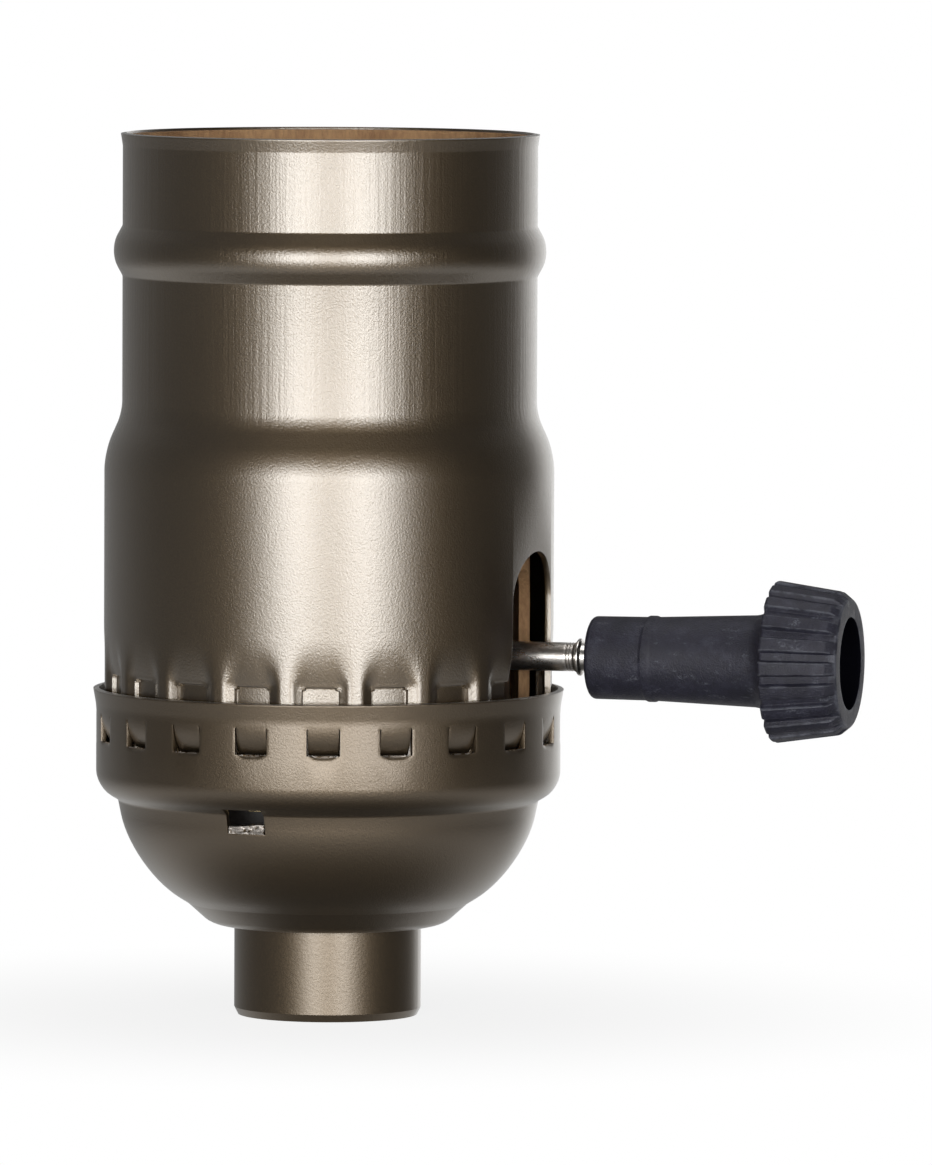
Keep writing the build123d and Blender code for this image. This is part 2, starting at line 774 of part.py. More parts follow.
def make_knob():
    """The moulded turn knob: a long sleeve, a ribbed head and a deep mouth."""
    ring_low = sleeve_ring_at - sleeve_ring_half_width
    ring_high = sleeve_ring_at + sleeve_ring_half_width
    bore_radius = stem_thread_radius + rotor_clearance
    outer = [
        (bore_radius, 0),
        (sleeve_start_radius, 0),
        (sleeve_start_radius, ring_low),
        (sleeve_start_radius + sleeve_ring_rise, sleeve_ring_at),
        (sleeve_start_radius, ring_high),
        (sleeve_end_radius, head_back_at),
        (head_back_radius, head_back_at),
        (head_front_radius, head_rim_at),
        (knob_front_radius, knob_length),
    ]
    bends = [knob_back_bend, 0.3, 0.3, 0.3, head_neck_bend, head_back_bend, 0.3]
    outside = FilletPolyline(*outer, radius=bends)
    inside = Polyline(
        (knob_front_radius, knob_length),
        (knob_mouth_radius, knob_length),
        (knob_throat_radius, knob_throat_at),
        (knob_floor_radius, knob_floor_at),
        (0, knob_floor_at),
        (0, knob_bore_depth),
        (bore_radius, knob_bore_depth),
        (bore_radius, 0),
    )
    knob = spin(make_face(outside.edges() + inside.edges()))
    taper = math.atan((head_back_radius - head_front_radius) / (head_rim_at - head_back_at))
    flute_length = (flute_end_at - head_back_at + flute_radius) / math.cos(taper)
    start_radius = head_back_radius + flute_radius * math.tan(taper) + flute_radius - flute_depth
    bottom = (Align.CENTER, Align.CENTER, Align.MIN)
    flute = Pos(start_radius, 0, head_back_at - flute_radius) * Rot(0, -math.degrees(taper), 0) * Cylinder(
        flute_radius, flute_length, align=bottom)
    knob -= around(flute, rib_count, 360.0 / rib_count / 2)
    return Pos(knob_back, 0, stem_z) * Rot(0, 90, 0) * knob


pieces = {
    "outer_shell": make_outer_shell(),
    "cap": make_cap(),
    "threaded_hub": make_threaded_hub(),
    "shell_liner": make_shell_liner(),
    "cap_liner": make_cap_liner(),
    "screw_shell": make_screw_shell(),
    "upper_body": make_upper_body(),
    "lower_body": make_lower_body(),
    "centre_contact": make_centre_contact(),
    "centre_rivet": make_centre_rivet(),
    "fixed_contact": make_fixed_contact(),
    "contact_tips": make_contact_tips(),
    "contact_blade": make_contact_blade(),
    "blade_rivet": make_blade_rivet(),
    "detent_spring": make_detent_spring(),
    "neutral_strap": make_neutral_strap(),
    "line_plate": make_line_plate(),
    "neutral_screw": make_terminal_screw(1),
    "line_screw": make_terminal_screw(-1),
    "body_rivets": make_body_rivets(),
    "stem": make_stem(),
    "rotor": make_rotor(),
    "knob": make_knob(),
}

os.makedirs("parts", exist_ok=True)
for name, shape in pieces.items():
    export_step(shape, f"parts/{name}.step")
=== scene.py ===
import math

import bmesh
import bpy
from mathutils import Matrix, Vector


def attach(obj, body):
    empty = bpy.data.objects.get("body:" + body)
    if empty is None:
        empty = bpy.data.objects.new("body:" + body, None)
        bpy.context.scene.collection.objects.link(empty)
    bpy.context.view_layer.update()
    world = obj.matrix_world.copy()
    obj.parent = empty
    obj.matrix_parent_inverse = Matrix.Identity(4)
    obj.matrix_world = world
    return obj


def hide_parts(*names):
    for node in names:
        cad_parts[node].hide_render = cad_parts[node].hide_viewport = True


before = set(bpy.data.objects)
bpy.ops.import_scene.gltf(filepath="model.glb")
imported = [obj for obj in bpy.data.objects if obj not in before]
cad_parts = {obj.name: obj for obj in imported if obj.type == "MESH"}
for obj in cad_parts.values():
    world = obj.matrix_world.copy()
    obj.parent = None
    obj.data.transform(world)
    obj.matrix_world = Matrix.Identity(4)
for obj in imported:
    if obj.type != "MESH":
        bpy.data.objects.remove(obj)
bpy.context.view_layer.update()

# The studio: a white floor, a camera at the photograph's angle, a little to the
# right of the stem's square-on view and slightly above, and soft light from its
# side: two wide boxes and two narrower bars that overlap them.
view_azimuth = math.radians(15.0)
view_elevation = math.radians(3.9)
view_distance = 0.96
view_right = 0.01088
view_height = 0.0344
view_roll = math.radians(0.25)
lens_mm = 373.6
frame_height_mm = 36.0
near_clip = 0.01
to_right = Vector((math.cos(view_azimuth), math.sin(view_azimuth), 0.0))
to_camera = Vector((
    math.sin(view_azimuth) * math.cos(view_elevation),
    -math.cos(view_azimuth) * math.cos(view_elevation),
    math.sin(view_elevation),
))
aim = to_right * view_right + Vector((0.0, 0.0, view_height))


def face_towards(thing, place, target):
    """Put a lamp or camera at a place, with its front to a target."""
    thing.location = place
    thing.rotation_euler = (target - place).to_track_quat("-Z", "Y").to_euler()
    bpy.context.scene.collection.objects.link(thing)


camera_data = bpy.data.cameras.new("camera")
camera_data.lens = lens_mm
camera_data.sensor_fit = "VERTICAL"
camera_data.sensor_height = frame_height_mm
camera_data.clip_start = near_clip
camera = bpy.data.objects.new("camera", camera_data)
face_towards(camera, aim + to_camera * view_distance, aim)
camera.rotation_euler.rotate_axis("Z", view_roll)
bpy.context.scene.camera = camera
bpy.context.scene.view_settings.view_transform = "Standard"

box_distance = 0.80
box_height = 0.38
box_centre_height = 0.08
box_target = Vector((0.0, 0.0, 0.035))
soft_boxes = {
    "outer_box": (-40.0, 43.0, 1.2),
    "inner_box": (-31.0, 35.0, 2.0),
    "left_bar": (-25.0, -7.0, 3.3),
    "right_bar": (9.5, 27.5, 3.2),
}
for name, (low_angle, high_angle, radiance) in soft_boxes.items():
    middle = math.radians((low_angle + high_angle) / 2) + view_azimuth - math.pi / 2
    width = 2 * box_distance * math.tan(math.radians(high_angle - low_angle) / 2)
    lamp = bpy.data.lights.new(name, "AREA")
    lamp.shape = "RECTANGLE"
    lamp.size = width
    lamp.size_y = box_height
    lamp.energy = radiance * math.pi * width * box_height
    spot = Vector((math.cos(middle), math.sin(middle), 0.0)) * box_distance
    spot.z = box_centre_height
    face_towards(bpy.data.objects.new(name, lamp), spot, box_target)


class Wire:
    """One socket of a material. Arithmetic on it adds Math nodes."""

    def __init__(self, finish, socket):
        self.finish = finish
        self.socket = socket

    def math(self, operation, other=0.0):
        """A Math node with this socket as its first value."""
        return self.finish.node("ShaderNodeMath", {"operation": operation}, {0: self, 1: other})

    def __add__(self, other):
        return self.math("ADD", other)

    def __radd__(self, other):
        return self.math("ADD", other)

    def __sub__(self, other):
        return self.math("SUBTRACT", other)

    def __rsub__(self, other):
        return self.finish.node("ShaderNodeMath", {"operation": "SUBTRACT"}, {0: other, 1: self})

    def __mul__(self, other):
        return self.math("MULTIPLY", other)

    def __rmul__(self, other):
        return self.math("MULTIPLY", other)

    def __truediv__(self, other):
        return self.math("DIVIDE", other)

    def __pow__(self, other):
        return self.math("POWER", other)

    def __gt__(self, other):
        return self.math("GREATER_THAN", other)

    def __lt__(self, other):
        return self.math("LESS_THAN", other)


class Finish:
    """A node tree of a material or of the world, filled one node at a time."""

    def __init__(self, tree):
        self.tree = tree
        self.tree.nodes.clear()

    def node(self, kind, settings=None, sockets=None, out=0):
        """Add a node: its settings first, then a value or a link for each socket."""
        made = self.tree.nodes.new(kind)
        for key, value in (settings or {}).items():
            setattr(made, key, value)
        for key, value in (sockets or {}).items():
            if isinstance(value, Wire):
                self.tree.links.new(value.socket, made.inputs[key])
            else:
                made.inputs[key].default_value = value
        return Wire(self, made.outputs[out]) if made.outputs else made


def light_path(finish, output):
    """One of Light Path's tests, such as Is Camera Ray."""
    return finish.node("ShaderNodeLightPath", out=output)


def along(finish, point, axis):
    """One of a point's three parts."""
    return finish.node("ShaderNodeSeparateXYZ", sockets={0: point}, out=axis)


def ramp_up(finish, value, low, high, top=1.0, bottom=0.0):
    """Bottom up to a low value, top from a high one on, and smooth between them."""
    return finish.node(
        "ShaderNodeMapRange", {"interpolation_type": "SMOOTHSTEP"},
        {0: value, 1: low, 2: high, 3: bottom, 4: top})


# The surroundings are white to the camera. Reflections see a dim room with a bright
# ceiling, a sweep of light behind the holder to the right, and a table that is
# light beyond the holder's own shadow.
room_grey = 0.075
room_slope = 0.03
rear_light = 0.16
sweep_light = 0.95
sweep_low = 0.90
sweep_high = 1.0
sweep_angle = math.radians(155.0) + view_azimuth - math.pi / 2
ceiling_light = 3.0
ceiling_low = 0.90
ceiling_high = 0.985
table_light = 0.42
table_low = 0.15
table_high = 0.55
under_high = 0.90
under_dim = 0.88
fill_grey = 0.14
world = bpy.data.worlds.new("studio")
world.use_nodes = True
world.cycles.sampling_method = "NONE"
bpy.context.scene.world = world
sky = Finish(world.node_tree)
direction = sky.node("ShaderNodeTexCoord", out="Generated")
upward = along(sky, direction, "Z")
downward = 0.0 - upward


def towards(angle_from_x):
    """1 where the sky is looked at in a level direction, 0 across it, -1 away from it."""
    heading = (math.cos(angle_from_x), math.sin(angle_from_x), 0.0)
    return sky.node(
        "ShaderNodeVectorMath", {"operation": "DOT_PRODUCT"}, {0: direction, 1: heading},
        out="Value")


rear = ramp_up(sky, towards(view_azimuth + math.pi / 2), 0.0, 1.0, rear_light)
room = room_grey - towards(view_azimuth) * room_slope + rear
room = room + ramp_up(sky, towards(sweep_angle), sweep_low, sweep_high, sweep_light)
room = room + ramp_up(sky, downward, table_low, table_high, table_light)
room = room * (1 - ramp_up(sky, downward, table_high, under_high, under_dim))
overhead = ramp_up(sky, upward, ceiling_low, ceiling_high, ceiling_light)
seen = light_path(sky, "Is Camera Ray")
glossy = light_path(sky, "Is Glossy Ray")
clear = light_path(sky, "Is Transmission Ray")
around = (room + overhead) * glossy + fill_grey * (1 - glossy)
level = seen + clear * (1 - seen) + around * (1 - seen) * (1 - clear)
backdrop = sky.node("ShaderNodeBackground", sockets={"Color": level})
sky.node("ShaderNodeOutputWorld", sockets={"Surface": backdrop})

floor_size = 6.0
floor_grey = 0.80
floor_white_share = 0.86
floor_near = 0.008
floor_far = 0.060
bpy.ops.object.select_all(action="DESELECT")
bpy.ops.mesh.primitive_plane_add(size=floor_size, location=(0.0, 0.0, 0.0))
floor = bpy.context.object
floor.name = "floor"
floor.visible_glossy = False
floor.visible_shadow = False
floor_material = bpy.data.materials.new("floor")
floor_material.use_nodes = True
paper = Finish(floor_material.node_tree)
matt = paper.node(
    "ShaderNodeBsdfDiffuse", sockets={"Color": (floor_grey, floor_grey, floor_grey, 1.0)})
white = paper.node("ShaderNodeEmission", sockets={"Color": (1.0, 1.0, 1.0, 1.0), "Strength": 1.0})
floor_point = paper.node("ShaderNodeTexCoord", out="Object")
floor_radius = paper.node(
    "ShaderNodeVectorMath", {"operation": "LENGTH"}, {0: floor_point}, out="Value")
white_share = ramp_up(paper, floor_radius, floor_near, floor_far, 1.0, floor_white_share)
seen_or_clear = light_path(paper, "Is Camera Ray") + light_path(paper, "Is Transmission Ray")
mixed = paper.node(
    "ShaderNodeMixShader", sockets={0: seen_or_clear * white_share, 1: matt, 2: white})
paper.node("ShaderNodeOutputMaterial", sockets={"Surface": mixed})
floor.data.materials.append(floor_material)


# The upper shell: steel sheet drawn to a tube with a round bead and a shoulder, in
# an antique bronze lacquer over fine die lines. Its lower edge is drawn in to a
# ring of pockets for the cap's tabs, and a round-topped slot clears the stem.
mm = 0.001
near = 1e-6
merge_reach = 2e-6
cut_reach = 1e-8
shell_sheet = 0.45 * mm
barrel_radius = 17.85 * mm
mouth_z = 70.0 * mm
mouth_support = 0.15 * mm
shell_line = [
    (16.60, 69.97), (16.45, 69.0), (16.45, 62.7), (17.53, 60.7), (16.45, 58.7), (16.45, 47.86),
    (17.85, 44.73), (17.85, 19.05)]
shell_bends = [0.6, 0.35, 2.6, 0.35, 4.3, 6.6]
shell_steps = [3, 4, 10, 4, 8, 8]
snap_count = 20
snap_columns = 22
column_angle = 2 * math.pi / (snap_count * snap_columns)
pocket_turn = -4.4
pocket_top_z = 27.3 * mm
pocket_low_z = 21.4 * mm
pocket_half_columns = 6
pocket_corner = 0.55 * mm
pocket_depth = 0.33 * mm
pocket_wall = 0.07 * mm
row_step = 0.2 * mm
row_count = 29
rows_above_pocket = 23
draw_in_z = 31.2 * mm
draw_in_depth = 0.40 * mm
draw_in_low_z = 27.4 * mm
draw_in_power = 2
ridge_from = 0.55
ridge_narrowing = 0.15
slot_turn = math.radians(-7.4)
slot_half_width = 3.95 * mm
slot_arch_z = 33.4 * mm
slot_points = 96
slot_cutter_from = 10 * mm
slot_cutter_length = 12 * mm
slot_cutter_drop = 16 * mm
slot_search_angle = 0.4
slot_search_top = 40 * mm
sheet_low_radius = 16.9 * mm
sheet_high_radius = 17.95 * mm
sheet_low_z = 19 * mm
edge_round = 0.06 * mm


def choose(test):
    """In edit mode, select only the vertices whose place passes a test."""
    bpy.ops.mesh.select_mode(type="VERT")
    bpy.ops.mesh.select_all(action="DESELECT")
    mesh = bpy.context.object.data
    shape = bmesh.from_edit_mesh(mesh)
    for vertex in shape.verts:
        vertex.select = test(vertex.co)
    shape.select_flush_mode()
    bmesh.update_edit_mesh(mesh)


def choose_faces(test):
    """In edit mode, select only the faces whose middle passes a test."""
    bpy.ops.mesh.select_mode(type="FACE")
    bpy.ops.mesh.select_all(action="DESELECT")
    mesh = bpy.context.object.data
    shape = bmesh.from_edit_mesh(mesh)
    for face in shape.faces:
        face.select = test(face.calc_center_median())
    bmesh.update_edit_mesh(mesh)


def across(place):
    """Distance from the upright axis."""
    return math.hypot(place.x, place.y)


def turned(place):
    """Angle about the upright axis, from +X."""
    return math.atan2(place.y, place.x)


def pick(piece):
    """Select one object alone and make it active."""
    bpy.ops.object.select_all(action="DESELECT")
    piece.select_set(True)
    bpy.context.view_layer.objects.active = piece


def settle(piece):
    """Fix a finished object's place into its mesh."""
    pick(piece)
    bpy.ops.object.transform_apply(location=True, rotation=True, scale=True)


def modify(piece, kind, **settings):
    """Add a modifier with its settings and apply it."""
    bpy.context.view_layer.objects.active = piece
    modifier = piece.modifiers.new(kind.lower(), kind)
    for key, value in settings.items():
        setattr(modifier, key, value)
    bpy.ops.object.modifier_apply(modifier=modifier.name)


def spun_sector(name, line, bends, steps, columns, count):
    """One of count like sectors of a turned sheet, down a line of radius and height in mm.

    Each corner of the line is rounded to its bend's radius in mm, in so many steps.
    """
    line = [(radius * mm, height * mm) for radius, height in line]
    bpy.ops.object.select_all(action="DESELECT")
    bpy.ops.mesh.primitive_circle_add(vertices=columns * count, radius=line[0][0])
    piece = bpy.context.object
    piece.name = name
    bpy.ops.object.mode_set(mode="EDIT")
    half = math.pi / count + near
    choose(lambda place: abs(turned(place)) > half)
    bpy.ops.mesh.delete(type="VERT")
    bpy.ops.mesh.select_all(action="SELECT")
    bpy.ops.transform.translate(value=(0, 0, line[0][1]))
    for (radius, height), (next_radius, next_height) in zip(line, line[1:]):
        grow = next_radius / radius
        bpy.ops.mesh.extrude_edges_move(
            TRANSFORM_OT_translate={"value": (0, 0, next_height - height)})
        bpy.ops.transform.resize(value=(grow, grow, 1), center_override=(0, 0, next_height))
    bpy.ops.mesh.select_all(action="SELECT")
    shape = bmesh.from_edit_mesh(piece.data)
    shape.normal_update()
    outward = sum(
        face.calc_area() * face.normal.x * face.calc_center_median().x for face in shape.faces)
    if outward < 0:
        bpy.ops.mesh.flip_normals()
    for before, corner, after, bend, step in zip(line, line[1:], line[2:], bends, steps):
        radius, height = corner
        into = math.atan2(height - before[1], radius - before[0])
        out = math.atan2(after[1] - height, after[0] - radius)
        turn = abs((out - into + math.pi) % (2 * math.pi) - math.pi)
        choose(lambda place: abs(place.z - height) < near and abs(across(place) - radius) < near)
        bpy.ops.mesh.bevel(
            offset=bend * mm * math.tan(turn / 2), segments=step, affect="EDGES",
            clamp_overlap=False)
    return piece


def cut_row(height):
    """Cut a row of edges round the piece. Beside a bend it keeps a plain wall's shading flat."""
    bpy.ops.mesh.select_all(action="SELECT")
    bpy.ops.mesh.bisect(plane_co=(0, 0, height), plane_no=(0, 0, 1), threshold=cut_reach)


def press(piece, weight, depth):
    """Press a sheet in along its normal, each vertex by its weight of the depth."""
    bpy.ops.object.mode_set(mode="OBJECT")
    group = piece.vertex_groups.new(name="pressed")
    for vertex in piece.data.vertices:
        group.add([vertex.index], weight(vertex), "REPLACE")
    modify(
        piece, "DISPLACE", vertex_group="pressed", direction="NORMAL", mid_level=0.0,
        strength=-depth)
    piece.vertex_groups.clear()


def copies_round(piece, count):
    """Copy a sector round the upright axis and merge the seams."""
    bpy.context.view_layer.objects.active = piece
    bpy.ops.object.mode_set(mode="EDIT")
    bpy.ops.mesh.select_all(action="SELECT")
    bpy.ops.mesh.spin(
        steps=count - 1, dupli=True, angle=2 * math.pi * (count - 1) / count,
        center=(0, 0, 0), axis=(0, 0, 1))
    bpy.ops.mesh.select_all(action="SELECT")
    bpy.ops.mesh.remove_doubles(threshold=merge_reach)
    bpy.ops.object.mode_set(mode="OBJECT")


def smooth_step(value, low, high):
    """0 at low, 1 at high, and smooth between them."""
    share = min(max((value - low) / (high - low), 0.0), 1.0)
    return share * share * (3 - 2 * share)


def thicken(piece, sheet, rim_slot=1):
    """Give an open sheet its thickness inwards, with a material slot for its cut edges."""
    modify(
        piece, "SOLIDIFY", thickness=sheet, offset=-1.0, use_even_offset=False,
        material_offset_rim=rim_slot)


def round_edges(piece, width, angle=40.0, segments=2):
    """Round the sharp edges of a finished piece and smooth the rest."""
    modify(
        piece, "BEVEL", width=width, segments=segments, limit_method="ANGLE",
        angle_limit=math.radians(angle), use_clamp_overlap=True)
    pick(piece)
    bpy.ops.object.shade_smooth_by_angle(angle=math.radians(angle))


def pocket_weight(vertex):
    """1 on the vertices of the pockets' floors."""
    return 1.0 if vertex.select else 0.0


def draw_in_weight(vertex):
    """How far the sheet is drawn in above and beside a pocket: all but the ridges between."""
    angle = abs(turned(vertex.co)) / (math.pi / snap_count)
    depth = min(max((draw_in_z - vertex.co.z) / (draw_in_z - draw_in_low_z), 0.0), 1.0)
    ridge = smooth_step(angle, ridge_from * depth, 1.0 - ridge_narrowing * depth)
    return depth ** draw_in_power * (1 - ridge)


shell = spun_sector("shell", shell_line, shell_bends, shell_steps, snap_columns, snap_count)
cut_row(mouth_z - mouth_support)
for row in range(row_count):
    cut_row(pocket_top_z + (rows_above_pocket - row) * row_step)
cut_row(pocket_low_z)
press(shell, draw_in_weight, draw_in_depth)
bpy.ops.object.mode_set(mode="EDIT")


def in_pocket(place):
    """Whether a face lies in the pocket's outline, whose corners are round."""
    side = (pocket_half_columns * column_angle - abs(turned(place))) * barrel_radius
    below = pocket_top_z - place.z
    if side < 0 or below < 0 or place.z < pocket_low_z:
        return False
    if side < pocket_corner and below < pocket_corner:
        return math.hypot(pocket_corner - side, pocket_corner - below) < pocket_corner
    return True


choose_faces(in_pocket)
bpy.ops.mesh.inset(thickness=pocket_wall, depth=0.0, use_boundary=True, use_even_offset=True)
bpy.ops.mesh.select_mode(type="VERT")
press(shell, pocket_weight, pocket_depth)
copies_round(shell, snap_count)
shell.rotation_euler = (0, 0, math.radians(pocket_turn))
settle(shell)

bpy.ops.object.select_all(action="DESELECT")
bpy.ops.mesh.primitive_circle_add(
    vertices=slot_points, radius=slot_half_width, fill_type="NGON",
    location=(slot_cutter_from, 0, slot_arch_z), rotation=(0, math.pi / 2, 0))
slot_cutter = bpy.context.object
settle(slot_cutter)
bpy.ops.object.mode_set(mode="EDIT")
choose(lambda place: place.z < slot_arch_z - near)
bpy.ops.transform.translate(value=(0, 0, -slot_cutter_drop))
bpy.ops.mesh.select_all(action="SELECT")
bpy.ops.mesh.extrude_region_move(TRANSFORM_OT_translate={"value": (slot_cutter_length, 0, 0)})
bpy.ops.mesh.select_all(action="SELECT")
bpy.ops.mesh.normals_make_consistent(inside=False)
bpy.ops.object.mode_set(mode="OBJECT")
slot_cutter.rotation_euler = (0, 0, slot_turn)
settle(slot_cutter)


def cut_opening(piece, cutter, waste):
    """Cut a cutter's outline into an open sheet, then take out the waste and the cutter."""
    for thing, action in ((piece, "DESELECT"), (cutter, "SELECT")):
        bpy.context.view_layer.objects.active = thing
        bpy.ops.object.mode_set(mode="EDIT")
        bpy.ops.mesh.select_all(action=action)
        bpy.ops.object.mode_set(mode="OBJECT")
    bpy.ops.object.select_all(action="DESELECT")
    cutter.select_set(True)
    piece.select_set(True)
    bpy.context.view_layer.objects.active = piece
    bpy.ops.object.join()
    bpy.ops.object.mode_set(mode="EDIT")
    bpy.ops.mesh.select_mode(type="FACE")
    bpy.ops.mesh.intersect(mode="SELECT_UNSELECT", separate_mode="NONE", solver="EXACT")
    choose_faces(waste)
    bpy.ops.mesh.delete(type="FACE")
    bpy.ops.mesh.select_all(action="SELECT")
    bpy.ops.mesh.remove_doubles(threshold=merge_reach)
    bpy.ops.object.mode_set(mode="OBJECT")


def slot_waste(place):
    """Faces inside the slot's outline, and what is left of its cutter."""
    aside = turned(place) - slot_turn
    if place.x < 0 or abs(aside) > slot_search_angle or place.z > slot_search_top:
        return False
    side = abs(across(place) * math.sin(aside))
    over = max(place.z - slot_arch_z, 0.0)
    on_sheet = sheet_low_radius < across(place) < sheet_high_radius and place.z >= sheet_low_z
    return not on_sheet or math.hypot(side, over) < slot_half_width


cut_opening(shell, slot_cutter, slot_waste)
thicken(shell, shell_sheet)
round_edges(shell, edge_round)

bronze = (0.152, 0.103, 0.050)
bronze_deep = (0.110, 0.073, 0.035)
gloss_white = (0.97, 0.97, 0.95)
bare_steel = (0.56, 0.51, 0.46)
bronze_roughness = 0.45
shell_gloss = (2.3, 0.21)
cap_gloss = (1.85, 0.31)
cloud_size = 9 * mm
speckle_size = 0.16 * mm
cloud_swing = 0.04
speckle_swing = 0.08
lacquer_bump = 0.02 * mm
line_width = 0.40 * mm
line_shortness = 0.02
lines_low_z = 45.0 * mm
lines_high_z = 49.0 * mm
steel_roughness = 0.34
steel_swing = 0.2
worn_soft = 0.06


def new_finish(name):
    """An empty material and the builder that fills it."""
    material = bpy.data.materials.new(name)
    material.use_nodes = True
    return material, Finish(material.node_tree)


def place_on(finish):
    """The point on the piece, as a vector."""
    return finish.node("ShaderNodeTexCoord", out="Object")


def stretched(finish, point, scale):
    """The point scaled along each axis, for grain that runs one way."""
    return finish.node("ShaderNodeMapping", sockets={"Vector": point, "Scale": scale})


def noise(finish, point, size, detail, roughness):
    """Soft noise whose grains are about a size in metres across."""
    return finish.node("ShaderNodeTexNoise", sockets={
        "Vector": point, "Scale": 1.0 / size, "Detail": detail, "Roughness": roughness})


def mix_colour(finish, share, first, second):
    """A colour between two, each a tuple or a wire."""
    return finish.node("ShaderNodeMix", {"data_type": "RGBA"}, {
        0: share,
        6: first if isinstance(first, Wire) else (*first, 1.0),
        7: second if isinstance(second, Wire) else (*second, 1.0),
    }, out=2)


def bump(finish, height, distance, strength=1.0):
    """A bump from a height between 0 and 1, over a distance in metres."""
    return finish.node("ShaderNodeBump", sockets={
        "Strength": strength, "Distance": distance, "Height": height})


def surface(finish, sockets):
    """The shader that closes a material."""
    shader = finish.node("ShaderNodeBsdfPrincipled", sockets=sockets)
    finish.node("ShaderNodeOutputMaterial", sockets={"Surface": shader})


def lacquered(finish, gloss, colour, roughness, normal):
    """Close a material as a metallic colour under a gloss, which is an index and a roughness."""
    index, gloss_roughness = gloss
    body = finish.node("ShaderNodeBsdfPrincipled", sockets={
        "Base Color": colour, "Metallic": 1.0, "Roughness": roughness, "Normal": normal})
    clear = finish.node("ShaderNodeBsdfPrincipled", sockets={
        "Base Color": (*gloss_white, 1.0), "Metallic": 1.0, "Roughness": gloss_roughness,
        "Normal": normal})
    share = finish.node("ShaderNodeFresnel", sockets={"IOR": index})
    mixed = finish.node("ShaderNodeMixShader", sockets={0: share, 1: body, 2: clear})
    finish.node("ShaderNodeOutputMaterial", sockets={"Surface": mixed})


def lacquer(name, gloss, line_share):
    """Bronze lacquer on steel: a fine grain, and die lines up the neck by a share."""
    material, finish = new_finish(name)
    point = place_on(finish)
    cloud = noise(finish, point, cloud_size, 2.0, 0.5)
    speckle = noise(finish, point, speckle_size, 3.0, 0.65)
    upright = stretched(finish, point, (1.0, 1.0, line_shortness))
    lines = noise(finish, upright, line_width, 3.0, 0.6)
    on_neck = ramp_up(finish, along(finish, point, "Z"), lines_low_z, lines_high_z)
    lacquered(
        finish, gloss, mix_colour(finish, speckle, bronze_deep, bronze),
        bronze_roughness + (cloud - 0.5) * cloud_swing + (speckle - 0.5) * speckle_swing,
        bump(finish, speckle + lines * on_neck * line_share, lacquer_bump))
    return material


def bare_edge(name, worn, grain=0.5 * mm, depth=0.01 * mm):
    """The sheet's cut edge: bare steel where the grain is above a worn level, lacquer below."""
    material, finish = new_finish(name)
    speckle = noise(finish, place_on(finish), grain, 3.0, 0.6)
    bare = ramp_up(finish, speckle, worn - worn_soft, worn + worn_soft)
    surface(finish, {
        "Base Color": mix_colour(finish, bare, bronze, bare_steel),
        "Metallic": 1.0,
        "Roughness": steel_roughness + (speckle - 0.5) * steel_swing,
        "Normal": bump(finish, speckle, depth),
    })
    return material


def add_piece(piece, body, slot, *nodes):
    """Enter a new piece: the body that carries it and what it stands for. The slot is not used.
    """
    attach(piece, body)
    if nodes:
        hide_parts(*nodes)


shell.data.materials.append(lacquer("shell_lacquer", shell_gloss, 1.0))
shell.data.materials.append(bare_edge("cut_steel", 0.44))
add_piece(shell, "holder", "bronze_paint", "outer_shell")


# The cap: a second drawn sheet in the same lacquer, with a ring of lanced windows
# whose tabs are pressed in to catch the shell's pockets, and one larger lanced
# rest in the bowl. Its cut edges shine where the lacquer is thin.
cap_sheet = 0.45 * mm
cap_rim_z = 25.95 * mm
rim_support = 0.12 * mm
collar_radius = 18.45 * mm
cap_line = [
    (18.69, 25.95), (18.45, 24.60), (18.45, 18.15), (16.72, 17.15), (15.61, 11.648), (11.15, 8.9),
    (9.25, 7.2), (6.05, 7.2)]
cap_bends = [3.2, 2.2, 0.35, 10.05, 0.6, 2.0]
cap_steps = [5, 6, 3, 14, 2, 5]
window_turn = -3.6
window_half_columns = 5
hinge_z = 24.5 * mm
split_z = 24.2 * mm
sill_z = 22.0 * mm
hinge_support = 0.15 * mm
window_rows = 12
tab_push = 0.78 * mm
tab_shrink = 0.93
tab_curl = 2.1
lip_press = 0.26 * mm
lip_height = 0.42 * mm
lip_rows = (0.08 * mm, 0.16 * mm, 0.26 * mm, lip_height)
lip_middle_share = 0.3
lip_bare_height = 0.08 * mm
lip_bare_depth = 0.07 * mm
lip_inner_depth = 0.1 * mm
steel_edges_low_z = 21.9 * mm
window_half = window_half_columns * column_angle
side_slack = 1e-4

cap = spun_sector("cap_shell", cap_line, cap_bends, cap_steps, snap_columns, snap_count)
cut_row(cap_rim_z - rim_support)
for row in range(window_rows):
    cut_row(sill_z + row * row_step)
for below_sill in lip_rows:
    cut_row(sill_z - below_sill)
cut_row(hinge_z + hinge_support)
bpy.ops.mesh.select_mode(type="EDGE")
bpy.ops.mesh.select_all(action="DESELECT")
cap_shape = bmesh.from_edit_mesh(cap.data)
for edge in cap_shape.edges:
    ends = [vertex.co for vertex in edge.verts]
    within = all(sill_z - near < end.z < split_z + near for end in ends)
    on_side = all(abs(abs(turned(end)) - window_half) < side_slack for end in ends)
    under = all(abs(turned(end)) < window_half + side_slack for end in ends)
    on_sill = under and all(abs(end.z - sill_z) < near for end in ends)
    edge.select = (within and on_side) or on_sill
bmesh.update_edit_mesh(cap.data)
bpy.ops.mesh.edge_split(type="EDGE")
choose_faces(lambda place: sill_z < place.z < split_z and abs(turned(place)) < window_half)
bpy.ops.transform.resize(value=(1, tab_shrink, 1))
bpy.ops.mesh.select_mode(type="VERT")


def tab_weight(vertex):
    """How far a tab is pressed in: not at its hinge, and all the way at its free end."""
    return ((hinge_z - vertex.co.z) / (hinge_z - sill_z)) ** tab_curl if vertex.select else 0.0


